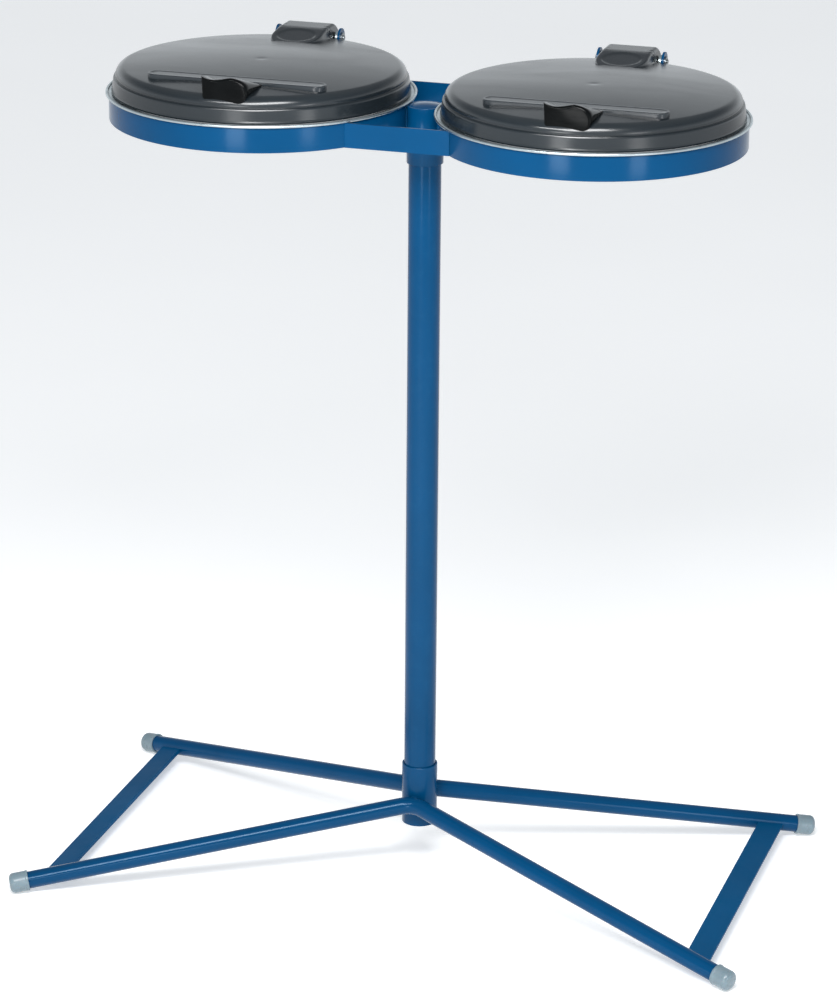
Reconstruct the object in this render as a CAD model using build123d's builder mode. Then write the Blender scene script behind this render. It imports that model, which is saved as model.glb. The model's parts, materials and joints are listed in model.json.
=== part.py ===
"""Double refuse-sack stand: a four-footed tube base, a pole, and two lidded sack rings.

Millimetres. +Z is up, the front is -Y, and the origin is on the floor under the pole.
Each sack ring has a clamp ring and a lid that swing up on one hinge pin at its rear.
"""

import os
from math import atan2, cos, hypot, radians, sin, sqrt, tan

from build123d import *

os.makedirs("parts", exist_ok=True)

# ---------------------------------------------------------------- driving dimensions
# pole and the two sleeves that hold it
pole_diameter = 40.0
pole_wall = 2.0
pole_clearance = 0.25
sleeve_wall = 2.25
base_sleeve_below_hub = 33.8
base_sleeve_above_hub = 46.2
floor_disc_thickness = 4.0
socket_below_rings = 41.0
pole_top_gap = 3.0
socket_cap_thickness = 4.0
socket_cap_dome = 2.5

# sack rings
ring_top = 997.0
ring_height = 30.0
ring_radius = 186.0
ring_thickness = 3.0
ring_edge_radius = 0.6

# cross plates between the rings
plate_offset = 117.0
plate_thickness = 3.0

# base
leg_diameter = 22.0
leg_wall = 1.5
leg_bend_radius = 33.0
leg_slope = 9.07
leg_saddle_depth = 1.0
foot_x = 462.4
foot_y = 244.0
strut_inset = 47.4
strut_width = 30.0
strut_thickness = 5.0

# foot caps
cap_wall = 2.25
cap_length = 24.0
cap_end_thickness = 3.0
cap_edge_radius = 5.0
cap_rim_radius = 0.8
cap_standing_flat = 0.4

# set screws that lock the pole in the sleeves
set_screw_diameter = 8.0
set_screw_length = 10.0
set_screw_socket = 4.0
set_screw_chamfer = 0.6
base_screw_drop = 18.0
socket_screw_drop = 22.0

# clamp ring
clamp_gap = 0.4
clamp_thickness = 2.0
clamp_inner_step = 2.5
clamp_overhang = 4.0
clamp_bead_radius = 1.9

# lid
lid_gap = 0.6
lid_wall = 2.5
lid_edge_inset = 3.5
lid_skirt_draft = 2.1
lid_skirt_height = 21.0
lid_groove_width = 2.9
lid_band_height = 2.5
lid_shoulder_radius = 11.5
lid_crown = 7.0

# hinge
hinge_overhang = 2.0
hinge_height = 31.0
pin_diameter = 6.0
pin_clearance = 0.05
pin_chamfer = 0.6
ear_thickness = 3.0
ear_head_radius = 12.0
bracket_plate_height = 23.0
lug_thickness = 3.0
lug_head_radius = 8.0
lug_stem_width = 5.4
lug_gap = 1.0
hinge_slot_gap = 1.2
hinge_slot_depth = 20.0
pin_end_reach = 3.5
clip_width = 3.5
clip_thickness = 1.6

# hinge housing moulded on the lid
housing_half_width = 34.0
housing_top_half_width = 31.0
housing_gap = 1.5
housing_over_pin = 16.5
housing_break_over_pin = 4.0
housing_below_pin = 14.0
housing_rear_reach = 14.0
housing_roof_reach = 2.0
housing_slope_length = 54.0
housing_roof_length = 30.0
housing_front_drop = 4.0
housing_wall = 3.0

# strip and grip on the lid
strip_length = 224.0
strip_width = 25.0
strip_edge_radius = 1.5
strip_below_apex = 0.5
strip_offset = 6.0
grip_width = 58.0
grip_offset = 13.0
grip_length = 54.0
grip_edge_inset = 11.0
grip_below_apex = 14.0
grip_over_apex = 16.0
grip_dip = 5.0
grip_lobe_radius = 14.0
grip_screw_diameter = 4.0
grip_screw_length = 12.0
grip_screw_spacing = 28.0
grip_screw_reach = 33.0

# how far a cutting solid runs past what it trims
trim_margin = 1.0

# ---------------------------------------------------------------- worked-out places
pole_radius = pole_diameter / 2
sleeve_bore = pole_radius + pole_clearance
sleeve_radius = sleeve_bore + sleeve_wall
ring_bottom = ring_top - ring_height
ring_x = ring_radius + sleeve_radius
socket_bottom = ring_bottom - socket_below_rings
socket_screw_height = ring_bottom - socket_screw_drop
cap_underside = ring_top - socket_cap_thickness
pole_top = cap_underside - pole_top_gap
leg_radius = leg_diameter / 2
cap_radius = leg_radius + cap_wall
strut_x = foot_x - strut_inset

clamp_bottom = ring_top + clamp_gap
clamp_top = clamp_bottom + clamp_thickness
clamp_inner_radius = ring_radius - ring_thickness - clamp_inner_step
clamp_bead_x = ring_radius + clamp_overhang - clamp_bead_radius

lid_bottom = clamp_top + lid_gap
lid_skirt_radius = ring_radius - lid_edge_inset
lid_ledge_radius = lid_skirt_radius - lid_skirt_draft
lid_upper_radius = lid_ledge_radius - lid_groove_width
ledge_z = ring_top + lid_skirt_height
shoulder_z = ledge_z + lid_band_height
lid_apex = shoulder_z + lid_shoulder_radius + lid_crown

pin_radius = pin_diameter / 2
pin_hole = pin_radius + pin_clearance
hinge_y = ring_radius + hinge_overhang
hinge_z = ring_top + hinge_height
lug_inner_x = housing_half_width + housing_gap
lug_outer_x = lug_inner_x + lug_thickness
ear_inner_x = lug_outer_x + lug_gap
ear_outer_x = ear_inner_x + ear_thickness
ear_foot_y = sqrt(ring_radius**2 - ear_outer_x**2) - trim_margin

housing_crest_y = hinge_y - housing_roof_length
housing_front_y = housing_crest_y - housing_slope_length
housing_rear_y = hinge_y + housing_rear_reach
housing_bottom = hinge_z - housing_below_pin
housing_top = hinge_z + housing_over_pin
housing_break_z = hinge_z + housing_break_over_pin

grip_front_y = grip_edge_inset - ring_radius
grip_rear_y = grip_front_y + grip_length
grip_screw_y = grip_front_y + grip_screw_reach
grip_peak = lid_apex + grip_over_apex
strip_top = lid_apex - strip_below_apex

sides = {"left": -1, "right": 1}
ends = {"front": -1, "rear": 1}


def save(piece, name):
    """Label a finished piece and write it as its own STEP file."""
    piece.part.label = name
    export_step(piece.part, f"parts/{name}.step")


# ---------------------------------------------------------------- base geometry
# A leg's axis runs from the hub to the foot. The foot's height follows from the cap
# that stands on the floor, and the hub's height from the slope.
slope = radians(leg_slope)
foot_z = (
    (cap_radius - cap_edge_radius) * cos(slope)
    + cap_edge_radius
    - cap_standing_flat
    - (cap_edge_radius - cap_end_thickness) * sin(slope)
)
half_turn = atan2(foot_y - sleeve_radius, foot_x)
bend_mid_y = sleeve_radius + leg_radius - leg_saddle_depth
hub_y = bend_mid_y - leg_bend_radius * (1 / cos(half_turn) - 1)
leg_plan = hypot(foot_x, foot_y - hub_y)
hub_z = foot_z + leg_plan * tan(slope)
base_sleeve_bottom = hub_z - base_sleeve_below_hub
base_sleeve_top = hub_z + base_sleeve_above_hub
base_screw_height = base_sleeve_top - base_screw_drop
pole_bottom = base_sleeve_bottom + floor_disc_thickness


def leg_point(side, end, share):
    """Point on a leg's axis: share 0 at the hub, 1 at the tube's end."""
    return Vector(
        side * foot_x * share,
        end * (hub_y + (foot_y - hub_y) * share),
        hub_z + (foot_z - hub_z) * share,
    )


def leg_direction(side, end):
    """Unit vector along a leg, from the hub out to the foot."""
    return (leg_point(side, end, 1) - leg_point(side, end, 0)).normalized()


def tube(bottom, top, outer, inner, screw_height=None):
    """Upright round tube on the pole's axis, with a set screw's hole in its rear wall."""
    with BuildPart() as piece:
        with BuildSketch(Plane.XY.offset(bottom)):
            Circle(outer)
            Circle(inner, mode=Mode.SUBTRACT)
        extrude(amount=top - bottom)
        if screw_height:
            with BuildSketch(Plane.XZ.offset(-inner / 2)):
                with Locations((0, screw_height)):
                    Circle(set_screw_diameter / 2)
            extrude(amount=-outer, mode=Mode.SUBTRACT)
    return piece


def leg_tube(end):
    """One V-bent tube that carries both legs of the front or the rear."""
    with BuildPart() as piece:
        with BuildLine() as axis:
            FilletPolyline(
                leg_point(-1, end, 1),
                leg_point(-1, end, 0),
                leg_point(1, end, 1),
                radius=leg_bend_radius,
            )
        with BuildSketch(Plane(origin=axis.line @ 0, z_dir=axis.line % 0)):
            Circle(leg_radius)
            Circle(leg_radius - leg_wall, mode=Mode.SUBTRACT)
        sweep(path=axis.line)
        with BuildSketch(Plane.XY.offset(base_sleeve_bottom)):
            Circle(sleeve_radius)
        extrude(amount=base_sleeve_top - base_sleeve_bottom, mode=Mode.SUBTRACT)
    return piece


def strut(side):
    """Flat bar between the front and rear legs, coped to both tubes."""
    share = strut_x / foot_x
    centre = leg_point(side, 1, share)
    tilt = Plane(
        origin=(centre.X, 0, centre.Z),
        x_dir=(side * foot_x, 0, foot_z - hub_z),
        z_dir=(side * (hub_z - foot_z), 0, foot_x),
    )
    with BuildPart() as piece:
        with BuildSketch(tilt):
            Rectangle(strut_width, 2 * centre.Y)
        extrude(amount=strut_thickness / 2, both=True)
        for end in ends.values():
            start = leg_point(side, end, 0)
            with BuildSketch(Plane(origin=start, z_dir=leg_direction(side, end))):
                Circle(leg_radius)
            extrude(amount=leg_plan / cos(slope), mode=Mode.SUBTRACT)
    return piece


def foot_cap(side, end):
    """Push-on cap over a leg's end, with a small flat where it stands."""
    tip = leg_point(side, end, 1)
    outward = leg_direction(side, end)
    with BuildPart() as piece:
        with BuildSketch(Plane(origin=tip + outward * cap_end_thickness, z_dir=-outward)):
            Circle(cap_radius)
        extrude(amount=cap_length)
        closed_end = piece.faces().sort_by(Axis(tip, outward))[-1]
        fillet(closed_end.edges(), cap_edge_radius)
        open_end = piece.faces().sort_by(Axis(tip, outward))[0]
        fillet(open_end.edges(), cap_rim_radius)
        with BuildSketch(Plane(origin=tip, z_dir=-outward)):
            Circle(leg_radius)
        extrude(amount=cap_length, mode=Mode.SUBTRACT)
        with BuildSketch(Plane.XY):
            with Locations((tip.X, tip.Y)):
                Rectangle(4 * cap_radius, 4 * cap_radius)
        extrude(amount=-cap_radius, mode=Mode.SUBTRACT)
    return piece


def set_screw(height):
    """Socket set screw, its tip against the pole's rear."""
    with BuildPart() as piece:
        with BuildSketch(Plane.XZ.offset(-pole_radius)):
            with Locations((0, height)):
                Circle(set_screw_diameter / 2)
        extrude(amount=-set_screw_length)
        outer = piece.faces().sort_by(Axis.Y)[-1]
        chamfer(outer.edges(), set_screw_chamfer)
        with BuildSketch(Plane.XZ.offset(-pole_radius - set_screw_length)):
            with Locations((0, height)):
                RegularPolygon(set_screw_socket / 2, 6)
        extrude(amount=set_screw_length / 2, mode=Mode.SUBTRACT)
    return piece


# ---------------------------------------------------------------- base and pole
base_sleeve = tube(base_sleeve_bottom, base_sleeve_top, sleeve_radius, sleeve_bore, base_screw_height)
save(base_sleeve, "base_sleeve")

with BuildPart() as floor_disc:
    with BuildSketch(Plane.XY.offset(base_sleeve_bottom)):
        Circle(sleeve_bore)
    extrude(amount=floor_disc_thickness)
save(floor_disc, "base_floor_disc")

for end_name, end in ends.items():
    save(leg_tube(end), f"{end_name}_leg_tube")
    for side_name, side in sides.items():
        save(foot_cap(side, end), f"{end_name}_{side_name}_foot_cap")
for side_name, side in sides.items():
    save(strut(side), f"{side_name}_strut")

save(tube(pole_bottom, pole_top, pole_radius, pole_radius - pole_wall), "pole")
save(set_screw(base_screw_height), "base_set_screw")

# ---------------------------------------------------------------- head socket and plates
head_socket = tube(socket_bottom, ring_top, sleeve_radius, sleeve_bore, socket_screw_height)
save(head_socket, "head_socket")
save(set_screw(socket_screw_height), "socket_set_screw")

cap_top = ring_top + socket_cap_dome
cap_sphere = (sleeve_bore**2 + socket_cap_dome**2) / (2 * socket_cap_dome)
cap_mid = (sleeve_bore / 2, cap_top - cap_sphere + sqrt(cap_sphere**2 - sleeve_bore**2 / 4))
with BuildPart() as socket_cap:
    with BuildSketch(Plane.XZ):
        with BuildLine():
            Polyline((0, cap_top), (0, cap_underside), (sleeve_bore, cap_underside), (sleeve_bore, ring_top))
            ThreePointArc((sleeve_bore, ring_top), cap_mid, (0, cap_top))
        make_face()
    revolve(axis=Axis.Z)
save(socket_cap, "socket_cap")


def ring_cylinder(side):
    """Solid cylinder inside a band's outer face, which trims what is welded to the band."""
    with BuildPart() as piece:
        with BuildSketch(Plane(origin=(side * ring_x, 0, ring_bottom))):
            Circle(ring_radius)
        extrude(amount=ring_height)
    return piece.part


for end_name, end in ends.items():
    with BuildPart() as plate:
        with BuildSketch(Plane(origin=(0, end * plate_offset, ring_bottom))):
            Rectangle(2 * ring_x, plate_thickness)
        extrude(amount=ring_height)
        for side in sides.values():
            add(ring_cylinder(side), mode=Mode.SUBTRACT)
    save(plate, f"{end_name}_plate")


# ---------------------------------------------------------------- rings, hinges and lids
def ring_axis(side):
    """Upright axis through a sack ring's centre."""
    return Axis((side * ring_x, 0, 0), (0, 0, 1))


def ring_section(side):
    """Half-section plane of a sack ring: local X is the radius, local Y the height."""
    return Plane(origin=(side * ring_x, 0, 0), x_dir=(1, 0, 0), z_dir=(0, -1, 0))


def side_plane(side, x):
    """Plane across a ring's hinge at a distance x from its centre line; local X is +Y."""
    return Plane(origin=(side * ring_x + x, 0, 0), x_dir=(0, 1, 0), z_dir=(1, 0, 0))


def ring_band(side):
    """Flat steel band rolled to a ring, standing on edge."""
    with BuildPart() as piece:
        with BuildSketch(Plane(origin=(side * ring_x, 0, ring_bottom))):
            Circle(ring_radius)
            Circle(ring_radius - ring_thickness, mode=Mode.SUBTRACT)
        extrude(amount=ring_height)
        fillet(piece.edges().filter_by(GeomType.CIRCLE), ring_edge_radius)
    return piece


def hinge_bracket(side):
    """U bracket on the band's rear: a cross plate and two ears that hold the pin."""
    with BuildPart() as piece:
        with BuildSketch(Plane(origin=(side * ring_x, 0, ring_bottom))):
            with Locations((0, ring_radius + ear_thickness / 2)):
                Rectangle(2 * ear_outer_x, ear_thickness)
        extrude(amount=bracket_plate_height)
        for x in (-ear_outer_x, ear_inner_x):
            with BuildSketch(side_plane(side, x)):
                with BuildLine():
                    Polyline(
                        (ear_foot_y, ring_bottom),
                        (hinge_y + ear_head_radius, ring_bottom + bracket_plate_height / 2),
                        (hinge_y + ear_head_radius, hinge_z),
                    )
                    ThreePointArc(
                        (hinge_y + ear_head_radius, hinge_z),
                        (hinge_y, hinge_z + ear_head_radius),
                        (hinge_y - ear_head_radius, hinge_z),
                    )
                    Polyline(
                        (hinge_y - ear_head_radius, hinge_z),
                        (ear_foot_y, hinge_z - ear_head_radius),
                        (ear_foot_y, ring_bottom),
                    )
                make_face()
                with Locations((hinge_y, hinge_z)):
                    Circle(pin_hole, mode=Mode.SUBTRACT)
            extrude(amount=ear_thickness)
        add(ring_cylinder(side), mode=Mode.SUBTRACT)
    return piece


def hinge_pin(side):
    """Plain steel pin through both ears, the clamp ring's lugs and the lid's housing."""
    reach = ear_outer_x + pin_end_reach
    with BuildPart() as piece:
        with BuildSketch(side_plane(side, -reach)):
            with Locations((hinge_y, hinge_z)):
                Circle(pin_radius)
        extrude(amount=2 * reach)
        chamfer(piece.edges().filter_by(GeomType.CIRCLE), pin_chamfer)
    return piece


def pin_clips(side):
    """Push-on retaining clips, one against the outside of each ear."""
    with BuildPart() as piece:
        for x in (-ear_outer_x - clip_thickness, ear_outer_x):
            with BuildSketch(side_plane(side, x)):
                with Locations((hinge_y, hinge_z)):
                    Circle(pin_radius + clip_width)
                    Circle(pin_radius, mode=Mode.SUBTRACT)
            extrude(amount=clip_thickness)
    return piece


def clamp_ring(side):
    """Clamp ring that lies on the band: a flat flange, a rolled outer edge, two lugs."""
    flange_width = clamp_bead_x - clamp_inner_radius
    slot_width = ear_outer_x + hinge_slot_gap - lug_outer_x
    slot_x = lug_outer_x + slot_width / 2
    slot_y = ear_foot_y - hinge_slot_gap + hinge_slot_depth / 2
    stem_front = sqrt(lid_skirt_radius**2 - lug_inner_x**2) + lug_gap
    stem_rear = stem_front + lug_stem_width
    stem_top = clamp_top + lid_skirt_height
    with BuildPart() as piece:
        with BuildSketch(ring_section(side)):
            with Locations((clamp_inner_radius + flange_width / 2, clamp_bottom + clamp_thickness / 2)):
                Rectangle(flange_width, clamp_thickness)
            with Locations((clamp_bead_x, clamp_bottom + clamp_bead_radius)):
                Circle(clamp_bead_radius)
        revolve(axis=ring_axis(side))
        # slots that the bracket's ears stand in
        with BuildSketch(Plane(origin=(side * ring_x, 0, clamp_bottom))):
            with Locations((-slot_x, slot_y), (slot_x, slot_y)):
                Rectangle(slot_width, hinge_slot_depth)
        extrude(amount=2 * clamp_bead_radius + trim_margin, mode=Mode.SUBTRACT)
        # lugs that turn on the pin
        for x in (-lug_outer_x, lug_inner_x):
            with BuildSketch(side_plane(side, x)):
                with BuildLine():
                    Polyline(
                        (stem_front, clamp_bottom),
                        (stem_rear, clamp_bottom),
                        (stem_rear, stem_top - lug_stem_width),
                        (hinge_y + lug_head_radius, hinge_z),
                    )
                    ThreePointArc(
                        (hinge_y + lug_head_radius, hinge_z),
                        (hinge_y, hinge_z + lug_head_radius),
                        (hinge_y - lug_head_radius, hinge_z),
                    )
                    Polyline(
                        (hinge_y - lug_head_radius, hinge_z),
                        (stem_front, stem_top),
                        (stem_front, clamp_bottom),
                    )
                make_face()
                with Locations((hinge_y, hinge_z)):
                    Circle(pin_hole, mode=Mode.SUBTRACT)
            extrude(amount=lug_thickness)
    return piece


def lid_form(side, inset=0):
    """Solid of the lid's outer form, with its faces moved inwards by inset."""
    centre_x = lid_upper_radius - lid_shoulder_radius
    arc = lid_shoulder_radius - inset
    top = lid_apex - inset
    # The dome is the sphere that touches the shoulder's arc and passes through the apex.
    rise = top - shoulder_z
    sphere = (centre_x**2 + rise**2 - arc**2) / (2 * (rise - arc))
    lean = atan2(shoulder_z - (top - sphere), centre_x)
    touch = (centre_x + arc * cos(lean), shoulder_z + arc * sin(lean))
    half = lean / 2
    mid_arc = (centre_x + arc * cos(half), shoulder_z + arc * sin(half))
    quarter = (lean + radians(90)) / 2
    mid_dome = (sphere * cos(quarter), top - sphere + sphere * sin(quarter))
    with BuildPart() as piece:
        with BuildSketch(ring_section(side)):
            with BuildLine():
                Polyline(
                    (0, top),
                    (0, lid_bottom),
                    (lid_skirt_radius - inset, lid_bottom),
                    (lid_ledge_radius - inset, ledge_z - inset),
                    (lid_upper_radius - inset, ledge_z - inset),
                    (lid_upper_radius - inset, shoulder_z),
                )
                ThreePointArc((lid_upper_radius - inset, shoulder_z), mid_arc, touch)
                ThreePointArc(touch, mid_dome, (0, top))
            make_face()
        revolve(axis=ring_axis(side))
    return piece.part


def housing_form(side, half_width, inset=0):
    """Solid of the hinge housing's side view, its roof and ends moved inwards by inset."""
    front = housing_front_y + inset
    rear = housing_rear_y - inset
    top = housing_top - inset
    with BuildPart() as piece:
        with BuildSketch(side_plane(side, -half_width)):
            with BuildLine():
                Polyline(
                    (front, housing_bottom),
                    (front, lid_apex - housing_front_drop - inset),
                    (housing_crest_y, top),
                    (hinge_y + housing_roof_reach, top),
                    (rear, housing_break_z),
                    (rear, housing_bottom),
                    (front, housing_bottom),
                )
            make_face()
        extrude(amount=2 * half_width)
    return piece.part


def housing_block(side):
    """Solid of the hinge housing, with flanks that lean in above the side break."""
    rear_plane = Plane(origin=(side * ring_x, housing_rear_y, 0), x_dir=(1, 0, 0), z_dir=(0, -1, 0))
    outer_x = housing_half_width + trim_margin
    over_z = housing_top + trim_margin
    with BuildPart() as piece:
        add(housing_form(side, housing_half_width))
        with BuildSketch(rear_plane):
            for flank in sides.values():
                with BuildLine():
                    Polyline(
                        (flank * outer_x, housing_break_z),
                        (flank * housing_half_width, housing_break_z),
                        (flank * housing_top_half_width, over_z),
                        (flank * outer_x, over_z),
                        (flank * outer_x, housing_break_z),
                    )
                make_face()
        extrude(amount=housing_rear_y - housing_front_y, mode=Mode.SUBTRACT)
    return piece.part


def screw_holes(side, top):
    """Pair of upright cylinders that clear the grip's screws up to a height."""
    with BuildPart() as piece:
        with BuildSketch(Plane(origin=(side * ring_x + grip_offset, grip_screw_y, lid_bottom))):
            with GridLocations(grip_screw_spacing, 1, 2, 1):
                Circle(grip_screw_diameter / 2)
        extrude(amount=top - lid_bottom)
    return piece.part


def lid_shell(side):
    """Moulded lid: a stepped skirt, a shallow dome and a hollow hinge housing."""
    hollow_half_width = housing_top_half_width - housing_wall
    with BuildPart() as piece:
        add(lid_form(side))
        add(housing_block(side))
        add(lid_form(side, lid_wall), mode=Mode.SUBTRACT)
        add(housing_form(side, hollow_half_width, housing_wall), mode=Mode.SUBTRACT)
        with BuildSketch(side_plane(side, -housing_half_width)):
            with Locations((hinge_y, hinge_z)):
                Circle(pin_hole)
        extrude(amount=2 * housing_half_width, mode=Mode.SUBTRACT)
        add(screw_holes(side, lid_apex), mode=Mode.SUBTRACT)
    return piece


def lid_strip(side):
    """Straight raised bar across the front of the lid, with half-round ends."""
    with BuildPart() as piece:
        centre = (side * ring_x + strip_offset, grip_rear_y + strip_width / 2, shoulder_z)
        with BuildSketch(Plane(origin=centre)):
            SlotOverall(strip_length, strip_width)
        extrude(amount=strip_top - shoulder_z)
        fillet(piece.faces().sort_by(Axis.Z)[-1].edges(), strip_edge_radius)
        add(lid_form(side), mode=Mode.SUBTRACT)
    return piece


def grip(side):
    """Wedge-shaped pull knob: high at the front, with a scooped top, falling to the strip."""
    half = grip_width / 2
    base = lid_apex - grip_below_apex
    lobe_x = half - grip_lobe_radius
    lobe_z = grip_peak - grip_lobe_radius
    lobe_mid = grip_lobe_radius * sqrt(0.5)
    front = (side * ring_x + grip_offset, grip_front_y, 0)
    front_plane = Plane(origin=front, x_dir=(1, 0, 0), z_dir=(0, -1, 0))
    with BuildPart() as piece:
        with BuildSketch(front_plane):
            with BuildLine():
                Polyline((-half, grip_peak), (-half, base), (half, base), (half, lobe_z))
                ThreePointArc((half, lobe_z), (lobe_x + lobe_mid, lobe_z + lobe_mid), (lobe_x, grip_peak))
                ThreePointArc(
                    (lobe_x, grip_peak), ((lobe_x - half) / 2, grip_peak - grip_dip), (-half, grip_peak)
                )
            make_face()
        extrude(amount=-grip_length)
        # the top falls away towards the strip
        with BuildSketch(side_plane(side, grip_offset - half)):
            with BuildLine():
                Polyline(
                    (grip_front_y, grip_peak),
                    (grip_rear_y, lid_apex),
                    (grip_rear_y, grip_peak),
                    (grip_front_y, grip_peak),
                )
            make_face()
        extrude(amount=grip_width, mode=Mode.SUBTRACT)
        add(lid_form(side), mode=Mode.SUBTRACT)
        add(screw_holes(side, grip_screw_seat() + grip_screw_length), mode=Mode.SUBTRACT)
    return piece


def lid_underside(radius):
    """Height of the lid's inner face at a radius on the dome."""
    arc = lid_shoulder_radius - lid_wall
    centre_x = lid_upper_radius - lid_shoulder_radius
    rise = lid_apex - lid_wall - shoulder_z
    sphere = (centre_x**2 + rise**2 - arc**2) / (2 * (rise - arc))
    return lid_apex - lid_wall - sphere + sqrt(sphere**2 - radius**2)


def grip_screw_seat():
    """Height of the grip screws' heads, against the lowest of the lid's face under them."""
    return lid_underside(hypot(grip_screw_spacing / 2 + grip_offset, grip_screw_y) + grip_screw_diameter)


def grip_screws(side):
    """Pair of pan-head screws up through the lid into the grip."""
    seat = grip_screw_seat()
    with BuildPart() as piece:
        with BuildSketch(Plane(origin=(side * ring_x + grip_offset, grip_screw_y, seat))):
            with GridLocations(grip_screw_spacing, 1, 2, 1):
                Circle(grip_screw_diameter / 2)
        extrude(amount=grip_screw_length)
        with BuildSketch(Plane(origin=(side * ring_x + grip_offset, grip_screw_y, seat))):
            with GridLocations(grip_screw_spacing, 1, 2, 1):
                Circle(grip_screw_diameter)
        extrude(amount=-grip_screw_diameter / 2)
    return piece


makers = {
    "ring_band": ring_band,
    "hinge_bracket": hinge_bracket,
    "hinge_pin": hinge_pin,
    "pin_clips": pin_clips,
    "clamp_ring": clamp_ring,
    "lid_shell": lid_shell,
    "lid_strip": lid_strip,
    "lid_grip": grip,
    "grip_screws": grip_screws,
}
for side_name, side in sides.items():
    for piece_name, maker in makers.items():
        save(maker(side), f"{side_name}_{piece_name}")
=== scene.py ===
"""Looks of the double refuse-sack stand: lids, grips, foot caps, welds, finishes, studio and camera.

Shapes are written in millimetres in the row frame and scaled to metres when a mesh is made.
"""

import json
from math import atan2, cos, exp, hypot, pi, radians, sin, sqrt, tan

import bmesh
import bpy
from mathutils import Matrix, Quaternion, Vector


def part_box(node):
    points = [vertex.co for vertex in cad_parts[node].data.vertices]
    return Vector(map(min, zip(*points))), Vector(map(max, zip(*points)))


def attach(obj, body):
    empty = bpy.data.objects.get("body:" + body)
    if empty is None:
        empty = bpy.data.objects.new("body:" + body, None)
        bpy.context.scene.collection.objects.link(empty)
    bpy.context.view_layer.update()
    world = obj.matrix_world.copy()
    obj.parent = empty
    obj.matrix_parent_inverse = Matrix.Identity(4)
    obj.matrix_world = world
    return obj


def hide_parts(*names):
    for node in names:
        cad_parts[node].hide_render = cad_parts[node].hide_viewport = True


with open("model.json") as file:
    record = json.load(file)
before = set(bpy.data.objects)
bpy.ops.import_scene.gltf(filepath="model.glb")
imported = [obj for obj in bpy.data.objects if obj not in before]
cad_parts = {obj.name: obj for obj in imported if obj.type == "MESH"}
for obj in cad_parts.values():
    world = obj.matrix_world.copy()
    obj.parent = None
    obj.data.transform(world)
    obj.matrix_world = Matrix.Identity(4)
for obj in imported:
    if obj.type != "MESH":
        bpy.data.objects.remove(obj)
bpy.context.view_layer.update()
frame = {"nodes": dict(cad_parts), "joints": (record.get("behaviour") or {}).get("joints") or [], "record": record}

MM = 0.001
WORN_BLUE = (0.03, 0.14, 0.28)
DUST = (0.09, 0.10, 0.10)
CAP_SCUFF = (0.16, 0.19, 0.21)
SIDES = {"left": -1, "right": 1}
ENDS = {"front": -1, "rear": 1}


def box(node):
    """Lowest and highest corner of a CAD node, in millimetres."""
    low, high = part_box(node)
    return low / MM, high / MM


# ---------------------------------------------------------------- places taken from the frame
band_low, band_high = box("right_ring_band")
RING_X = (band_low.x + band_high.x) / 2
RING_TOP = band_high.z
RING_BOTTOM = band_low.z
RING_RADIUS = (band_high.x - band_low.x) / 2

shell_low, shell_high = box("right_lid_shell")
LID_BOTTOM = shell_low.z
SKIRT_RADIUS = (shell_high.x - shell_low.x) / 2
HOUSING_TOP = shell_high.z
HOUSING_REAR = shell_high.y

hinge = next(j for j in frame["joints"] if j["name"] == "right_lid_hinge")
HINGE_Y = hinge["pos_m"][1] / MM
HINGE_Z = hinge["pos_m"][2] / MM

strip_low, strip_high = box("right_lid_strip")
grip_low, grip_high = box("right_lid_grip")
sleeve_low, sleeve_high = box("base_sleeve")
SLEEVE_RADIUS = sleeve_high.x

# ---------------------------------------------------------------- shapes of the lid
LID_WALL = 2.5
SKIRT_DRAFT = 2.1
GROOVE_WIDTH = 2.9
LEDGE_Z = RING_TOP + 21.0
SHOULDER_Z = LEDGE_Z + 2.5
SHOULDER_RADIUS = 11.5
CROWN = 7.0
APEX_Z = SHOULDER_Z + SHOULDER_RADIUS + CROWN
UPPER_RADIUS = SKIRT_RADIUS - SKIRT_DRAFT - GROOVE_WIDTH
SHOULDER_X = UPPER_RADIUS - SHOULDER_RADIUS
DOME_RADIUS = (SHOULDER_X**2 + (SHOULDER_RADIUS + CROWN) ** 2 - SHOULDER_RADIUS**2) / (2 * CROWN)

GATE_DEPTH = 0.35
GATE_SPREAD = 6.0

HOUSING_HALF_WIDTH = 34.0
HOUSING_TOP_HALF_WIDTH = 31.0
HOUSING_BREAK_Z = HINGE_Z + 4.0
HOUSING_BOTTOM = HINGE_Z - 14.0
HOUSING_CREST_Y = HINGE_Y - 30.0
HOUSING_FRONT_Y = HOUSING_CREST_Y - 54.0
HOUSING_FRONT_Z = APEX_Z - 4.0
HOUSING_ROOF_END = HINGE_Y + 2.0
HOUSING_SLOPE = (HOUSING_TOP - HOUSING_FRONT_Z) / (HOUSING_CREST_Y - HOUSING_FRONT_Y)
CREST_EASE = 7.0
NOSE_LENGTH = 40.0
NOSE_NARROWING = 0.86
RECESS_Y = 133.5
RECESS_HALF_WIDTH = 24.0
RECESS_HALF_LENGTH = 19.0
RECESS_DEPTH = 1.15
RECESS_STEEPNESS = 16

GRIP_LOBE = 22.0
GRIP_DIP = 4.2
GRIP_EDGE = 4.0


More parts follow.
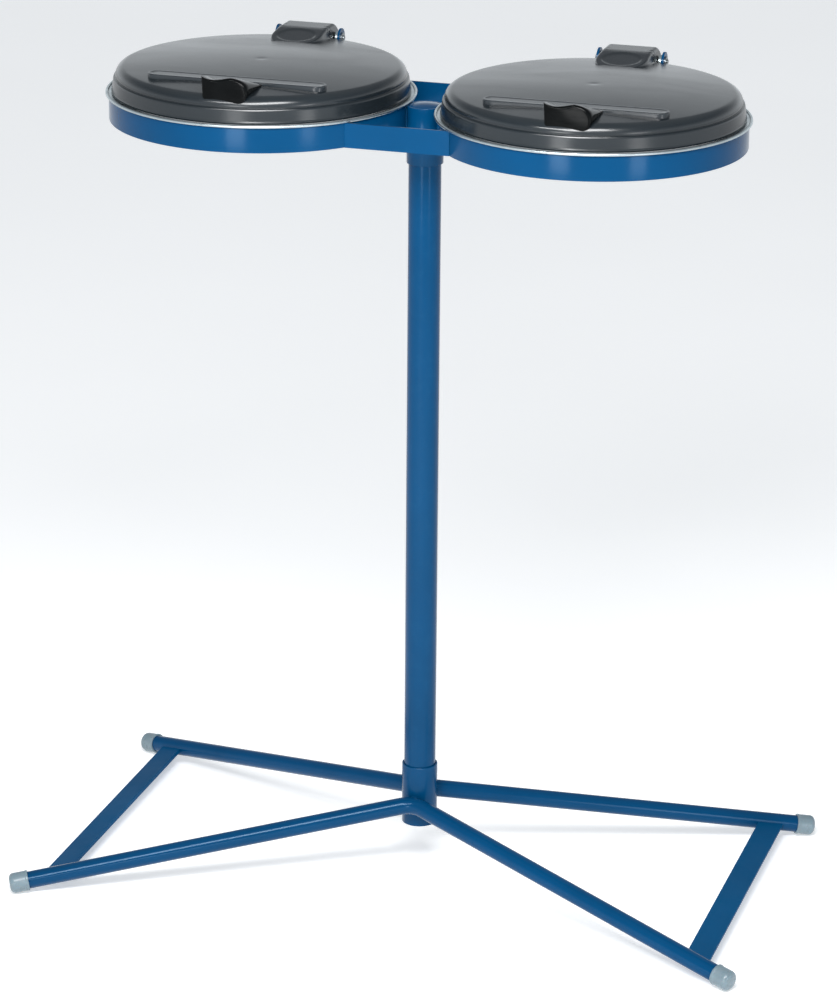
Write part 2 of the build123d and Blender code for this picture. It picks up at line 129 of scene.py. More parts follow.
# ---------------------------------------------------------------- mesh helpers
def rounded(points, radii, steps=6):
    """Polyline whose inner corners are replaced by arcs; radii has one value for each."""
    out = [Vector(points[0])]
    for before, corner, after, radius in zip(points, points[1:], points[2:], radii):
        corner = Vector(corner)
        back = (Vector(before) - corner).normalized()
        ahead = (Vector(after) - corner).normalized()
        inside = back.angle(ahead, pi)
        if radius <= 0 or inside > pi - 0.02 or inside < 0.02:
            out.append(corner)
            continue
        centre = corner + (back + ahead).normalized() * (radius / sin(inside / 2))
        first = corner + back * (radius / tan(inside / 2)) - centre
        last = corner + ahead * (radius / tan(inside / 2)) - centre
        sweep = first.angle(last)
        for step in range(steps + 1):
            share = step / steps
            turned = first * sin((1 - share) * sweep) + last * sin(share * sweep)
            out.append(centre + turned / sin(sweep))
    out.append(Vector(points[-1]))
    return out


def resample(points, count, closed=False):
    """The same line with its points evenly spaced."""
    points = [Vector(p) for p in points]
    if closed:
        points.append(points[0])
    lengths = [0.0]
    for a, b in zip(points, points[1:]):
        lengths.append(lengths[-1] + (b - a).length)
    out = []
    spans = count if closed else count - 1
    index = 0
    for step in range(count):
        target = lengths[-1] * step / spans
        while index < len(lengths) - 2 and lengths[index + 1] < target:
            index += 1
        span = lengths[index + 1] - lengths[index]
        share = (target - lengths[index]) / span if span else 0.0
        out.append(points[index].lerp(points[index + 1], min(1.0, share)))
    return out


def loft(loops, wrap=False, caps=True):
    """Vertices and faces of a skin over closed loops of equal length."""
    count = len(loops[0])
    rows = len(loops)
    verts = [tuple(p) for loop in loops for p in loop]
    faces = []
    for row in range(rows if wrap else rows - 1):
        upper = ((row + 1) % rows) * count
        for column in range(count):
            beside = (column + 1) % count
            faces.append((row * count + column, row * count + beside, upper + beside, upper + column))
    if caps and not wrap:
        faces.append(tuple(reversed(range(count))))
        faces.append(tuple(range((rows - 1) * count, rows * count)))
    return verts, faces


def revolve(profile, segments=192):
    """Skin of a closed (radius, height) outline turned about the upright axis."""
    loops = []
    for step in range(segments):
        turn = 2 * pi * step / segments
        loops.append([(r * cos(turn), r * sin(turn), z) for r, z in profile])
    return loft(loops, wrap=True)


def sweep(line, radius, sides=12, ripple=0.0, pitch=3.0):
    """Round bead along a line of points, its thickness waving by a share once in each pitch."""
    loops = []
    travelled = 0.0
    for index, point in enumerate(line):
        before = line[max(0, index - 1)]
        after = line[min(len(line) - 1, index + 1)]
        along = (after - before).normalized()
        across = along.orthogonal() if abs(along.z) > 0.9 else along.cross(Vector((0, 0, 1)))
        across.normalize()
        upward = along.cross(across)
        travelled += (point - before).length
        from_end = min(index, len(line) - 1 - index) / max(1, len(line) - 1)
        taper = sqrt(min(1.0, 0.12 + from_end * 10))
        thick = radius * taper * (1 + ripple * sin(2 * pi * travelled / pitch))
        loops.append(
            [
                point + (across * cos(2 * pi * s / sides) + upward * sin(2 * pi * s / sides)) * thick
                for s in range(sides)
            ]
        )
    return loft(loops)


def piece(name, skin, body, material, centre=(0, 0, 0), replaces=(), sharp=40.0):
    """Makes a mesh object from a skin in millimetres and lets it ride on a CAD body."""
    verts, faces = skin
    mesh = bpy.data.meshes.new(name)
    mesh.from_pydata([(Vector(v) + Vector(centre)) * MM for v in verts], [], faces)
    work = bmesh.new()
    work.from_mesh(mesh)
    bmesh.ops.remove_doubles(work, verts=work.verts, dist=0.01 * MM)
    bmesh.ops.dissolve_degenerate(work, edges=work.edges, dist=0.001 * MM)
    bmesh.ops.recalc_face_normals(work, faces=work.faces)
    work.to_mesh(mesh)
    work.free()
    mesh.shade_smooth()
    mesh.set_sharp_from_angle(angle=radians(sharp))
    made = bpy.data.objects.new(name, mesh)
    bpy.context.scene.collection.objects.link(made)
    mesh.materials.append(material)
    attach(made, body)
    if replaces:
        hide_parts(*replaces)
    return made


def join(skins):
    """One skin from several."""
    verts, faces = [], []
    for more_verts, more_faces in skins:
        start = len(verts)
        verts.extend(more_verts)
        faces.extend(tuple(start + index for index in face) for face in more_faces)
    return verts, faces


# ---------------------------------------------------------------- material helpers
class Nodes:
    """Short way to add nodes to a material and join them."""

    def __init__(self, name):
        self.material = bpy.data.materials.new(name)
        self.material.use_nodes = True
        self.tree = self.material.node_tree
        self.tree.nodes.clear()
        output = self.tree.nodes.new("ShaderNodeOutputMaterial")
        self.shader = self.tree.nodes.new("ShaderNodeBsdfPrincipled")
        self.tree.links.new(self.shader.outputs[0], output.inputs[0])
        self.place = self.tree.nodes.new("ShaderNodeTexCoord").outputs["Object"]

    def set(self, node, socket, value):
        """Joins a socket if the value is one, and else sets it."""
        if isinstance(value, bpy.types.NodeSocket):
            self.tree.links.new(value, node.inputs[socket])
        else:
            node.inputs[socket].default_value = value

    def add(self, kind, output=0, settings=None, **inputs):
        """Adds a node with its inputs and gives one of its outputs."""
        node = self.tree.nodes.new("ShaderNode" + kind)
        for key, value in (settings or {}).items():
            setattr(node, key, value)
        for socket, value in inputs.items():
            self.set(node, socket.replace("_", " "), value)
        return node.outputs[output]

    def noise(self, scale, detail=3.0, roughness=0.5, distortion=0.0, stretch=None):
        """Noise from 0 to 1, about scale features in a metre, stretched along the axes."""
        place = self.place
        if stretch:
            place = self.add("Mapping", Vector=place, Scale=stretch)
        return self.add(
            "TexNoise", Vector=place, Scale=scale, Detail=detail, Roughness=roughness, Distortion=distortion
        )

    def span(self, value, low, high, from_low=0.3, from_high=0.7):
        """Maps a value onto a range."""
        node = self.tree.nodes.new("ShaderNodeMapRange")
        for index, number in enumerate((value, from_low, from_high, low, high)):
            self.set(node, index, number)
        return node.outputs[0]

    def blend(self, share, first, second):
        """Colour between two colours."""
        node = self.tree.nodes.new("ShaderNodeMix")
        node.data_type = "RGBA"
        self.set(node, 0, share)
        for index, colour in ((6, first), (7, second)):
            self.set(node, index, colour if isinstance(colour, bpy.types.NodeSocket) else (*colour, 1.0))
        return node.outputs[2]

    def product(self, first, second):
        """Two values multiplied and kept from 0 to 1."""
        node = self.tree.nodes.new("ShaderNodeMath")
        node.operation = "MULTIPLY"
        node.use_clamp = True
        self.set(node, 0, first)
        self.set(node, 1, second)
        return node.outputs[0]

    def bump(self, height, strength, distance, under=None):
        """Bumped normal."""
        node = self.tree.nodes.new("ShaderNodeBump")
        node.inputs["Strength"].default_value = strength
        node.inputs["Distance"].default_value = distance
        self.set(node, "Height", height)
        if under:
            self.set(node, "Normal", under)
        return node.outputs[0]

    def finish(self, colour, roughness, normal, **fixed):
        """Gives the shader its three varying sockets and its fixed ones."""
        self.set(self.shader, "Base Color", colour)
        self.set(self.shader, "Roughness", roughness)
        self.set(self.shader, "Normal", normal)
        for socket, value in fixed.items():
            self.shader.inputs[socket.replace("_", " ")].default_value = value
        return self.material


def scaled(colour, factor):
    """A colour made lighter or darker."""
    return tuple(min(1.0, channel * factor) for channel in colour)


# ---------------------------------------------------------------- materials
def powder_coat(name, blue, ior, rough_low, rough_high):
    """Blue powder coat: orange peel, faint cloudiness, and paint worn paler on the edges."""
    n = Nodes(name)
    cloud = n.span(n.noise(7.0, 4.0, 0.55), 0.0, 1.0)
    colour = n.blend(cloud, scaled(blue, 0.90), scaled(blue, 1.10))
    specks = n.span(n.noise(420.0, 2.0), 0.0, 0.16, 0.66, 0.74)
    colour = n.blend(specks, colour, scaled(blue, 1.9))
    edge = n.add("NewGeometry", output="Pointiness")
    scuffs = n.span(n.noise(55.0, 5.0, 0.7), 0.0, 1.0, 0.50, 0.72)
    worn = n.product(n.span(edge, 0.0, 0.5, 0.62, 0.76), scuffs)
    colour = n.blend(worn, colour, WORN_BLUE)
    roughness = n.span(n.noise(16.0, 4.0, 0.6), rough_low, rough_high)
    peel = n.bump(n.noise(330.0, 2.0, 0.4), 0.07, 0.0003)
    normal = n.bump(n.noise(14.0, 2.0, 0.4), 0.02, 0.002, peel)
    return n.finish(colour, roughness, normal, IOR=ior, Specular_Tint=(0.55, 0.78, 1.0, 1.0))


def lid_plastic(name, grey, rough_low, rough_high, grain):
    """Anthracite moulded plastic: fine grain, flow marks and a little dust on upward faces."""
    n = Nodes(name)
    cloud = n.span(n.noise(9.0, 5.0, 0.6, 0.4), 0.0, 1.0)
    colour = n.blend(cloud, scaled(grey, 0.88), scaled(grey, 1.12))
    upward = n.add("SeparateXYZ", output=2, Vector=n.add("NewGeometry", output="Normal"))
    patches = n.span(n.noise(38.0, 6.0, 0.7), 0.0, 0.10, 0.45, 0.75)
    dust = n.product(n.span(upward, 0.0, 1.0, 0.80, 1.0), patches)
    colour = n.blend(dust, colour, DUST)
    flow = n.noise(5.0, 3.0, 0.5, 0.8, (1.0, 2.6, 1.0))
    roughness = n.span(flow, rough_low, rough_high)
    fine = n.bump(n.noise(1500.0, 2.0, 0.5), grain, 0.00012)
    normal = n.bump(n.noise(16.0, 1.0, 0.3), 0.012, 0.0012, fine)
    return n.finish(colour, roughness, normal, IOR=1.5)


def grip_plastic():
    """Glossy black grip with hairline scratches."""
    black = (0.0022, 0.0026, 0.0028)
    n = Nodes("black_grip")
    colour = n.blend(n.span(n.noise(60.0, 4.0), 0.0, 1.0), scaled(black, 0.8), scaled(black, 1.35))
    hairlines = n.noise(90.0, 4.0, 0.7, 0.5, (1.0, 9.0, 4.0))
    roughness = n.span(hairlines, 0.12, 0.26, 0.35, 0.70)
    normal = n.bump(n.noise(700.0, 2.0), 0.05, 0.0001)
    return n.finish(colour, roughness, normal, IOR=1.16)


def zinc(name, bright, rough_low, rough_high):
    """Zinc-plated steel: pale spangle, rolling lines and dull spots."""
    n = Nodes(name)
    spangle = n.add("TexVoronoi", Vector=n.place, Scale=230.0, Randomness=1.0)
    cloud = n.span(n.noise(34.0, 4.0, 0.6), 0.0, 1.0)
    colour = n.blend(cloud, scaled(bright, 0.86), scaled(bright, 1.06))
    colour = n.blend(n.span(spangle, 0.0, 0.14, 0.2, 0.8), colour, scaled(bright, 0.7))
    roughness = n.span(n.noise(70.0, 4.0, 0.6), rough_low, rough_high)
    normal = n.bump(n.noise(520.0, 3.0, 0.6), 0.03, 0.0001)
    return n.finish(colour, roughness, normal, Metallic=1.0)


def cap_plastic():
    """Soft grey polyethylene of the foot caps, scuffed and slightly dusty."""
    grey = (0.150, 0.206, 0.238)
    n = Nodes("grey_foot_cap")
    cloud = n.span(n.noise(48.0, 5.0, 0.6, 0.3), 0.0, 1.0)
    colour = n.blend(cloud, scaled(grey, 0.86), scaled(grey, 1.10))
    scuffs = n.span(n.noise(170.0, 6.0, 0.75), 0.0, 0.30, 0.58, 0.78)
    colour = n.blend(scuffs, colour, CAP_SCUFF)
    roughness = n.span(n.noise(90.0, 4.0), 0.24, 0.36)
    fine = n.bump(n.noise(900.0, 2.0), 0.10, 0.00015)
    normal = n.bump(n.noise(95.0, 3.0), 0.06, 0.0006, fine)
    return n.finish(colour, roughness, normal, IOR=1.5, Subsurface_Weight=0.06, Subsurface_Scale=0.004)


def floor_material():
    """Pale studio floor."""
    n = Nodes("studio_floor")
    colour = n.blend(n.span(n.noise(1.5, 3.0), 0.0, 1.0), (0.86, 0.86, 0.86), (0.88, 0.88, 0.88))
    glow = {"Emission_Color": (0.98, 0.99, 1.0, 1.0), "Emission_Strength": 0.40}
    roughness = n.span(n.noise(5.0), 0.75, 0.85)
    return n.finish(colour, roughness, n.bump(n.noise(300.0), 0.02, 0.0005), IOR=1.2, **glow)


BLUE = powder_coat("blue_powder_coat", (0.0005, 0.041, 0.114), 1.30, 0.13, 0.20)
# Struts: the same blue powder coat, with its base colour painted lighter as painted light for their upward faces.
LIT_COPY_FLAT_BLUE = powder_coat("blue_flat_bar_coat_painted_lighter", (0.0008, 0.058, 0.152), 1.12, 0.42, 0.55)
LID = lid_plastic("anthracite_lid", (0.0085, 0.0120, 0.0150), 0.17, 0.25, 0.10)
STRIP = lid_plastic("anthracite_strip", (0.012, 0.016, 0.020), 0.20, 0.28, 0.08)
GRIP = grip_plastic()
CLAMP = zinc("zinc_clamp_ring", (0.46, 0.52, 0.54), 0.24, 0.36)
HARDWARE = zinc("zinc_hardware", (0.24, 0.26, 0.27), 0.26, 0.42)
CAP = cap_plastic()
BY_SLOT = {
    "blue_powder_coat": BLUE,
    "anthracite_lid": LID,
    "black_grip": GRIP,
    "zinc_clamp_ring": CLAMP,
    "zinc_hardware": HARDWARE,
    "grey_foot_cap": CAP,
}


# ---------------------------------------------------------------- CAD nodes that stay
def dress_cad_nodes():
    """Gives each CAD node its slot's material (the struts a copy of the blue coat whose base colour is painted
    lighter), welds its seams and eases its sharp edges.
    """
    bevels = {
        "base_sleeve": 1.3,
        "head_socket": 0.9,
        "front_plate": 0.7,
        "rear_plate": 0.7,
        "left_strut": 0.9,
        "right_strut": 0.9,
        "left_hinge_bracket": 0.5,
        "right_hinge_bracket": 0.5,
    }
    slots = {part["node"]: part["material_slot"] for part in frame["record"]["subparts"]}
    for name, node in frame["nodes"].items():
        node.data.materials.clear()
        # The struts take the copy of the blue coat with the painted lighter base colour.
        node.data.materials.append(LIT_COPY_FLAT_BLUE if name.endswith("strut") else BY_SLOT[slots[name]])
        weld = node.modifiers.new("weld", "WELD")
        weld.merge_threshold = 0.005 * MM
        if name in bevels:
            bevel = node.modifiers.new("bevel", "BEVEL")
            bevel.width = bevels[name] * MM
            bevel.segments = 3
            bevel.limit_method = "ANGLE"
            bevel.angle_limit = radians(40)


# ---------------------------------------------------------------- lids
def dome_z(radius):
    """Height of the lid's outer face on the dome and the shoulder; the housing's bottom past them."""
    if radius < SHOULDER_X:
        return APEX_Z - DOME_RADIUS + sqrt(DOME_RADIUS**2 - radius**2)
    if radius < UPPER_RADIUS:
        return SHOULDER_Z + sqrt(SHOULDER_RADIUS**2 - (radius - SHOULDER_X) ** 2)
    return HOUSING_BOTTOM


def lid_skin():
    """Turned lid: dome with a gate mark, shoulder, groove, stepped skirt, rolled lip and inside."""
    lean = atan2(DOME_RADIUS - APEX_Z + SHOULDER_Z, SHOULDER_X)
    touch = SHOULDER_X + SHOULDER_RADIUS * cos(lean)
    outer = []
    for step in range(61):
        radius = touch * (step / 60) ** 1.15
        outer.append((radius, dome_z(radius) - GATE_DEPTH * exp(-((radius / GATE_SPREAD) ** 2))))
    for step in range(1, 17):
        turn = lean * (1 - step / 16)
        outer.append((SHOULDER_X + SHOULDER_RADIUS * cos(turn), SHOULDER_Z + SHOULDER_RADIUS * sin(turn)))
    ledge_radius = SKIRT_RADIUS - SKIRT_DRAFT
    skirt = [
        (UPPER_RADIUS, SHOULDER_Z),
        (UPPER_RADIUS - 0.5, LEDGE_Z + 0.4),
        (ledge_radius - 0.6, LEDGE_Z + 0.2),
        (ledge_radius, LEDGE_Z - 1.6),
        (SKIRT_RADIUS - 0.5, LID_BOTTOM + 4.2),
        (SKIRT_RADIUS, LID_BOTTOM + 2.6),
        (SKIRT_RADIUS, LID_BOTTOM),
        (SKIRT_RADIUS - LID_WALL, LID_BOTTOM),
        (ledge_radius - LID_WALL, LEDGE_Z - LID_WALL),
        (UPPER_RADIUS - LID_WALL, LEDGE_Z - LID_WALL),
        (UPPER_RADIUS - LID_WALL, SHOULDER_Z),
    ]
    outer.extend(rounded(skirt, (0.5, 0.9, 0.9, 0.6, 1.2, 0.9, 0.9, 0.6, 0.6), 5)[1:])
    inner_arc = SHOULDER_RADIUS - LID_WALL
    for step in range(1, 9):
        turn = lean * step / 8
        outer.append((SHOULDER_X + inner_arc * cos(turn), SHOULDER_Z + inner_arc * sin(turn)))
    inner_touch = SHOULDER_X + inner_arc * cos(lean)
    for step in range(23, -1, -1):
        radius = inner_touch * step / 24
        outer.append((radius, dome_z(radius) - LID_WALL))
    return revolve(outer, 224)


def roof_z(y):
    """Height of the housing's top along the lid: a rising slope, a flat roof and a rounded rear."""
    slope = HOUSING_FRONT_Z + (y - HOUSING_FRONT_Y) * (HOUSING_TOP - HOUSING_FRONT_Z) / (
        HOUSING_CREST_Y - HOUSING_FRONT_Y
    )
    height = min(slope, HOUSING_TOP)
    if abs(y - HOUSING_CREST_Y) < CREST_EASE:
        before_roof = HOUSING_CREST_Y + CREST_EASE - y
        height = HOUSING_TOP - HOUSING_SLOPE * before_roof**2 / (4 * CREST_EASE)
    if y > HOUSING_ROOF_END:
        share = (y - HOUSING_ROOF_END) / (HOUSING_REAR - HOUSING_ROOF_END)
        height -= (HOUSING_TOP - HOUSING_BREAK_Z) * (1 - sqrt(max(0.0, 1 - share**2.2)))
    return height


def housing_skin():
    """Hinge housing: rounded front, slanted flanks, oval recess in its slope, flared foot."""
    loops = []
    stations = 78
    for station in range(stations + 1):
        y = HOUSING_FRONT_Y + (HOUSING_REAR - HOUSING_FRONT_Y) * station / stations
        from_nose = max(0.0, min(1.0, (y - HOUSING_FRONT_Y + 1.0) / NOSE_LENGTH))
        narrowing = 1 - sqrt(max(0.0, 1 - (1 - from_nose) ** 2.2))
        base_half = HOUSING_HALF_WIDTH * (1 - NOSE_NARROWING * narrowing)
        lean = (HOUSING_HALF_WIDTH - HOUSING_TOP_HALF_WIDTH) / (HOUSING_TOP - HOUSING_BREAK_Z)
        foot_x, foot_z = base_half, dome_z(hypot(base_half, y))
        for _ in range(6):
            foot_x = base_half - max(0.0, foot_z - HOUSING_BREAK_Z) * lean
            foot_z = dome_z(hypot(foot_x, y))
        top = max(roof_z(y), dome_z(y) + 0.02 if y < UPPER_RADIUS else 0)
        top = min(top, HOUSING_TOP)
        top_x = base_half - max(0.0, top - HOUSING_BREAK_Z) * lean
        height = top - foot_z
        flare = min(5.0, max(0.0, height) * 0.8) if foot_z > HOUSING_BOTTOM + 0.1 else 0.0
        out_x = foot_x + flare + 0.4
        out_z = dome_z(hypot(out_x, y)) - 0.25 if foot_z > HOUSING_BOTTOM + 0.1 else foot_z
        sunk = out_z - 1.2 if foot_z > HOUSING_BOTTOM + 0.1 else foot_z
        half = [(out_x, sunk), (out_x, out_z)]
        if foot_z < HOUSING_BREAK_Z < top:
            half += [(foot_x, foot_z), (base_half, HOUSING_BREAK_Z)]
        else:
            half += [(foot_x, foot_z), ((foot_x + top_x) / 2, (foot_z + top) / 2)]
        half += [(top_x, top)]
        outline = half + [(-x, z) for x, z in reversed(half)]
        corner = min(4.5, 0.42 * max(0.05, height))
        radii = [0, min(flare, corner), 2.0 if foot_z < HOUSING_BREAK_Z else 0, corner]
        outline = rounded(outline, radii + radii[::-1], 5)
        loop = []
        for point in resample(outline, 120):
            x, z = point
            oval = (x / RECESS_HALF_WIDTH) ** 2 + ((y - RECESS_Y) / RECESS_HALF_LENGTH) ** 2
            if z > top - 1.0 and oval < 1.5:
                z -= RECESS_DEPTH / (1 + exp((oval - 1.0) * RECESS_STEEPNESS))
            loop.append((x, y, z))
        loops.append(loop)
    last = loops[-1]
    middle = sum(p[2] for p in last) / len(last)
    loops.append([(x * 0.985, y, middle + (z - middle) * 0.96) for x, y, z in last])
    return loft(loops)


def strip_skin():
    """Raised bar with half-round ends, an eased rim and a shallow field on top."""
    half_width = (strip_high.y - strip_low.y) / 2
    half_length = (strip_high.x - strip_low.x) / 2
    centre_y = (strip_high.y + strip_low.y) / 2
    top = strip_high.z

    def outline(inset):
        radius = half_width - inset
        straight = half_length - half_width
        points = []
        for step in range(25):
            turn = -pi / 2 + pi * step / 24
            points.append((straight + radius * cos(turn), radius * sin(turn)))
        for step in range(25):
            turn = pi / 2 + pi * step / 24
            points.append((-straight + radius * cos(turn), radius * sin(turn)))
        return resample(points, 220, closed=True)

    centre_x = (strip_high.x + strip_low.x) / 2 - RING_X
    layers = [(0.0, None), (0.0, top - 1.4), (0.25, top - 0.6), (0.8, top - 0.1), (1.5, top), (2.4, top)]
    layers += [(3.0, top - 0.35), (3.6, top - 0.45), (8.0, top - 0.45)]
    loops = []
    for inset, z in layers:
        loop = []
        for x, y in outline(inset):
            x += centre_x
            y += centre_y
            loop.append((x, y, dome_z(hypot(x, y)) - 0.8 if z is None else z))
        loops.append(loop)
    return loft(loops)


def grip_skin():
    """Pull knob: peaked corner at the left, scooped top, round lobe at the right, falling rearwards."""
    half = (grip_high.x - grip_low.x) / 2
    centre_x = (grip_high.x + grip_low.x) / 2 - RING_X
    front, rear = grip_low.y, grip_high.y
    peak = grip_high.z
    lobe = GRIP_LOBE
    eased = 7.5
    depths = [0.0, 0.2, 0.7, 1.5, 2.6, 4.0]
    depths += [eased + (rear - front - eased) * step / 16 for step in range(17)]
    loops = []
    for depth in depths:
        y = front + depth
        share = depth / (rear - front)
        inset = GRIP_EDGE * (1 - sqrt(max(0.0, 1 - (1 - min(1.0, depth / GRIP_EDGE)) ** 2)))
        top = peak - (peak - APEX_Z) * share**1.25
        scoop = GRIP_DIP * (1 - 0.75 * share)
        base = dome_z(min(UPPER_RADIUS - 0.5, hypot(half, y))) - 1.2
        outline = []
        for step in range(29):
            x = -half + (2 * half - lobe) * step / 28
            along = step / 28
            outline.append((x, top - scoop * sin(pi * along**0.72) ** 1.2 - 0.6 * along))
        crown = top - 0.6
        lobe_height = min(lobe, 0.62 * (crown - base))
        for step in range(1, 13):
            turn = pi / 2 * (1 - step / 12)
            outline.append((half - lobe + lobe * cos(turn), crown - lobe_height * (1 - sin(turn))))
        under = crown - lobe_height - base
        tuck = min(12.0, under)
        for step in range(1, 9):
            turn = pi / 2 * step / 8
            outline.append((half - tuck * 0.8 * (1 - cos(turn)), base + under - under * sin(turn)))
        outline.append((-half + 1.5, base))
        outline = resample(outline, 170, closed=True)
        centre = Vector((0.0, (top + base) / 2))
        loop = []
        for point in outline:
            away = point - centre
            point = point - away.normalized() * inset
            loop.append((point.x + centre_x, y, max(point.y, base)))
        loops.append(loop)
    return loft(loops)


def build_lids():
    """The visual pieces of both lids."""
    lid, housing, strip, grip = lid_skin(), housing_skin(), strip_skin(), grip_skin()
    for side, sign in SIDES.items():
        body = f"{side}_lid"
        centre = (sign * RING_X, 0, 0)
        piece(f"{side}_lid_dome", lid, body, LID, centre, [f"{side}_lid_shell"], 32)
        piece(f"{side}_hinge_housing", housing, body, LID, centre, (), 50)
        piece(f"{side}_name_strip", strip, body, STRIP, centre, [f"{side}_lid_strip"], 30)
        piece(f"{side}_pull_grip", grip, body, GRIP, centre, [f"{side}_lid_grip"], 38)


# ---------------------------------------------------------------- foot caps
LEG_RADIUS = 11.0
LEG_BEND_RADIUS = 33.0
SADDLE_DEPTH = 1.0
LEG_TIP = Vector((462.4, 244.0, 12.43))
HUB_APEX = SLEEVE_RADIUS + LEG_RADIUS - SADDLE_DEPTH
HUB_TURN = atan2(LEG_TIP.y - SLEEVE_RADIUS, LEG_TIP.x)
HUB_Y = HUB_APEX - LEG_BEND_RADIUS * (1 / cos(HUB_TURN) - 1)
HUB_ABOVE_SLEEVE_END = 33.8
HUB_Z = sleeve_low.z + HUB_ABOVE_SLEEVE_END
CAP_RADIUS = 13.25
CAP_LENGTH = 24.0
CAP_END_WALL = 3.0


def leg_end(sign, toward):
    """End of a leg tube's axis, and the unit vector out along the leg."""
    tip = Vector((sign * LEG_TIP.x, toward * LEG_TIP.y, LEG_TIP.z))
    hub = Vector((0, toward * HUB_Y, HUB_Z))
    return tip, (tip - hub).normalized()


def cap_skin(tip, outward):
    """Push-on cap: rolled rim, slight waist, domed end, and a flat where it stands."""
    radius, end_wall, bore = CAP_RADIUS, CAP_END_WALL, LEG_RADIUS
    back = CAP_LENGTH - end_wall
    profile = [
        (bore, -back + 1.0),
        (bore, -back),
        (radius - 0.1, -back),
        (radius, -back + 2.4),
        (radius - 0.55, -back + 3.4),
        (radius - 0.35, 0.5 * end_wall - 4.5),
        (radius - 0.9, end_wall),
        (0.0, end_wall + 0.35),
    ]
    profile = rounded(profile, (0.3, 0.7, 0.7, 0.6, 2.0, 6.2), 8)
    profile += [(0.0, end_wall - 2.5), (bore, end_wall - 2.5)]
    verts, faces = revolve(profile, 72)
    turn = Vector((0, 0, 1)).rotation_difference(outward).to_matrix()
    placed = [turn @ Vector(v) + tip for v in verts]
    return [(v.x, v.y, max(0.0, v.z)) for v in placed], faces


def build_caps():
    """The four foot caps."""
    for end, toward in ENDS.items():
        for side, sign in SIDES.items():
            tip, outward = leg_end(sign, toward)
            name = f"{end}_{side}_foot_cap"
            skin = cap_skin(tip, outward)
            piece(f"{name}_moulded", skin, "stand", CAP, (0, 0, 0), [name], 30)


# ---------------------------------------------------------------- welds
HUB_WELD_RADIUS = 2.3
SOCKET_WELD_RADIUS = 2.2
BRACKET_WELD_RADIUS = 1.6
BRACKET_WELD_LENGTH = 22.0
WELD_STEP = 0.8
WELD_RIPPLE = 0.09
WELD_PITCH = 2.6


def weld(name, lines, radius):
    """Rippled weld beads along lines of points, as one piece of the stand."""
    skins = []
    for line in lines:
        count = max(12, int(length_of(line) / WELD_STEP))
        skins.append(sweep(resample(line, count), radius, 10, WELD_RIPPLE, WELD_PITCH))
    piece(name, join(skins), "stand", BLUE, (0, 0, 0), (), 60)


def length_of(line):
    """Length of a line of points."""
    return sum((Vector(b) - Vector(a)).length for a, b in zip(line, line[1:]))


def hub_weld_lines(toward):
    """Upper and lower bead where a V tube rests against the sleeve."""
    lines = []
    for up in (-1, 1):
        line = []
        for step in range(25):
            turn = radians(-34 + 68 * step / 24)
            x = SLEEVE_RADIUS * sin(turn)
            gap = HUB_APEX + x**2 / (2 * LEG_BEND_RADIUS) - SLEEVE_RADIUS * cos(turn)
            rise = sqrt(max(0.0, LEG_RADIUS**2 - min(gap, LEG_RADIUS) ** 2))
            reach = SLEEVE_RADIUS * cos(turn) + 1.0 + max(0.0, gap - 9.0) * 0.45
            line.append(Vector((x * 1.03, toward * reach, HUB_Z + up * (rise + 1.6))))
        lines.append(line)
    return lines


def build_welds():
    """Beads at the hub, the socket and the brackets."""
    for end, toward in ENDS.items():
        weld(f"{end}_hub_weld", hub_weld_lines(toward), HUB_WELD_RADIUS)

    lines = []
    for sign in SIDES.values():
        for toward in ENDS.values():
            spot = Vector((sign * (SLEEVE_RADIUS + 0.4), toward * 3.4, 0))
            lines.append([spot + Vector((0, 0, RING_BOTTOM + 0.8)), spot + Vector((0, 0, RING_TOP - 0.8))])
    weld("socket_band_welds", lines, SOCKET_WELD_RADIUS)

    for side, sign in SIDES.items():
        low, high = box(f"{side}_hinge_bracket")
        lines = []
        for x in (low.x - 0.4, high.x + 0.4):
            y = sqrt(RING_RADIUS**2 - (x - sign * RING_X) ** 2) + 0.4
            foot = Vector((x, y, RING_BOTTOM + 1.0))
            lines.append([foot, Vector((x, y, RING_BOTTOM + BRACKET_WELD_LENGTH))])
        weld(f"{side}_bracket_welds", lines, BRACKET_WELD_RADIUS)


# ---------------------------------------------------------------- studio and camera
CAMERA_AZIMUTH = 16.622
CAMERA_PITCH = 19.110
CAMERA_ROLL = 0.478
CAMERA_DISTANCE = 4.9951
CAMERA_AIM_Z = 0.49334
CAMERA_AIM_SIDE = -0.00446
CAMERA_LENS = 144.34
CAMERA_SENSOR = 36.0
FLOOR_HALF = 14.0
FLOOR_Z = -0.0006
LIDS = (0, 0, 1.0)
FRONT_LEFT_LEG = (-0.23, -0.136, 0.053)


def aim(thing, place, target):
    """Puts a light or camera at a place, looking at a target."""
    thing.location = place
    thing.rotation_mode = "QUATERNION"
    thing.rotation_quaternion = (Vector(target) - Vector(place)).to_track_quat("-Z", "Y")


def direction(azimuth, elevation):
    """Unit vector from the object towards a place round it; azimuth 0 is in front."""
    a, e = radians(azimuth), radians(elevation)
    return Vector((sin(a) * cos(e), -cos(a) * cos(e), sin(e)))


def softbox(name, azimuth, elevation, distance, width, height, radiance, target, turn=0):
    """Rectangular light whose face has the given radiance, turned in its own plane by an angle."""
    data = bpy.data.lights.new(name, "AREA")
    data.shape = "RECTANGLE"
    data.size = width
    data.size_y = height
    data.energy = radiance * pi * width * height
    made = bpy.data.objects.new(name, data)
    bpy.context.scene.collection.objects.link(made)
    aim(made, Vector(target) + direction(azimuth, elevation) * distance, target)
    made.rotation_quaternion = made.rotation_quaternion @ Quaternion((0, 0, 1), radians(turn))


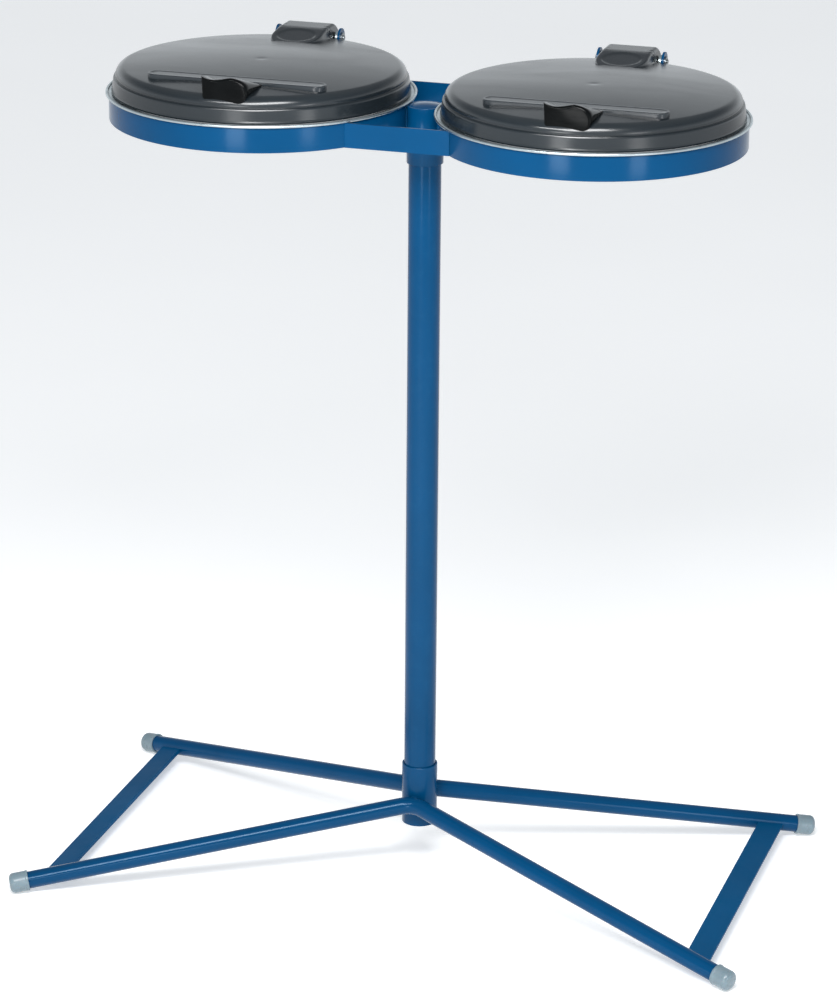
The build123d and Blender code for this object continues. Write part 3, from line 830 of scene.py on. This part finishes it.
def build_studio():
    """Pale floor, even surround and softboxes."""
    corners = [(-1, -1), (1, -1), (1, 1), (-1, 1)]
    verts = [(x * FLOOR_HALF, y * FLOOR_HALF, FLOOR_Z) for x, y in corners]
    mesh = bpy.data.meshes.new("studio_floor")
    mesh.from_pydata(verts, [], [(0, 1, 2, 3)])
    mesh.materials.append(floor_material())
    floor = bpy.data.objects.new("studio_floor", mesh)
    bpy.context.scene.collection.objects.link(floor)

    world = bpy.data.worlds.new("studio")
    bpy.context.scene.world = world
    world.use_nodes = True
    tree = world.node_tree
    place = tree.nodes.new("ShaderNodeTexCoord")
    height = tree.nodes.new("ShaderNodeSeparateXYZ")
    ramp = tree.nodes.new("ShaderNodeValToRGB")
    tree.links.new(place.outputs["Generated"], height.inputs[0])
    tree.links.new(height.outputs[2], ramp.inputs[0])
    tree.links.new(ramp.outputs[0], tree.nodes["Background"].inputs["Color"])
    levels = [(0.0, 1.15, 1.0), (0.16, 1.10, 1.0), (0.34, 0.55, 1.0), (0.52, 0.26, 1.06), (0.80, 0.42, 1.0)]
    while len(ramp.color_ramp.elements) < len(levels):
        ramp.color_ramp.elements.new(0.5)
    for stop, (place_up, level, cool) in zip(ramp.color_ramp.elements, levels):
        stop.position = place_up
        stop.color = (level * 0.95, level, level * 1.04 * cool, 1.0)
    tree.nodes["Background"].inputs["Strength"].default_value = 1.0

    softbox("lid_softbox", CAMERA_AZIMUTH - 32, 29, 2.7, 0.80, 0.24, 28.0, LIDS)
    softbox("left_window", CAMERA_AZIMUTH - 21, -7, 2.6, 0.58, 0.80, 7.5, LIDS)
    softbox("right_window", CAMERA_AZIMUTH + 33, -7, 2.6, 0.48, 0.80, 5.5, LIDS)
    softbox("leg_softbox", 22, 50, 2.5, 1.3, 0.55, 24.0, FRONT_LEFT_LEG, 27)


def build_camera():
    """Camera in front, a little to the right and above."""
    back = direction(CAMERA_AZIMUTH, CAMERA_PITCH)
    right = (-back).cross(Vector((0, 0, 1))).normalized()
    up = right.cross(-back)
    roll = radians(CAMERA_ROLL)
    tilted_right = right * cos(roll) + up * sin(roll)
    tilted_up = up * cos(roll) - right * sin(roll)
    data = bpy.data.cameras.new("camera")
    data.sensor_width = CAMERA_SENSOR
    data.lens = CAMERA_LENS
    camera = bpy.data.objects.new("camera", data)
    bpy.context.scene.collection.objects.link(camera)
    place = Vector((0, 0, CAMERA_AIM_Z)) + tilted_right * CAMERA_AIM_SIDE + back * CAMERA_DISTANCE
    axes = Matrix((tilted_right, tilted_up, back)).transposed()
    camera.matrix_world = Matrix.Translation(place) @ axes.to_4x4()
    bpy.context.scene.camera = camera


dress_cad_nodes()
build_lids()
build_caps()
build_welds()
build_camera()
build_studio()
bpy.context.scene.view_settings.view_transform = "Standard"
